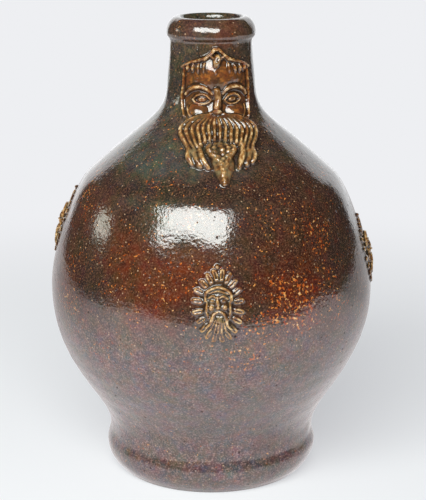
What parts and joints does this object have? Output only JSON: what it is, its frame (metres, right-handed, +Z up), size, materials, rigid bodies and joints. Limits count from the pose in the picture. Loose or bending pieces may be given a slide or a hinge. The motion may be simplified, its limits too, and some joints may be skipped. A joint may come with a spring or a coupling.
{
  "type": "bellarmine jug",
  "caption": "Round-bellied salt-glazed stoneware jug with a moulded bearded mask on its narrow neck, oval medallions on its belly and a strap handle.",
  "frame": {"origin": "centre of the underside of the foot, on the surface the jug stands on", "axes": "+Z up along the axis the pot was thrown on; the moulded mask faces -Y and the handle is on +Y"},
  "size_m": [0.1695, 0.1709, 0.24],
  "materials": {
    "salt_glazed_stoneware": "glossy brown salt glaze with a fine orange-peel skin and rust and cream specks, amber where it runs thin over the relief"
  },
  "bodies": {
    "root": {"jug": "salt_glazed_stoneware"}
  },
  "joints": []
}
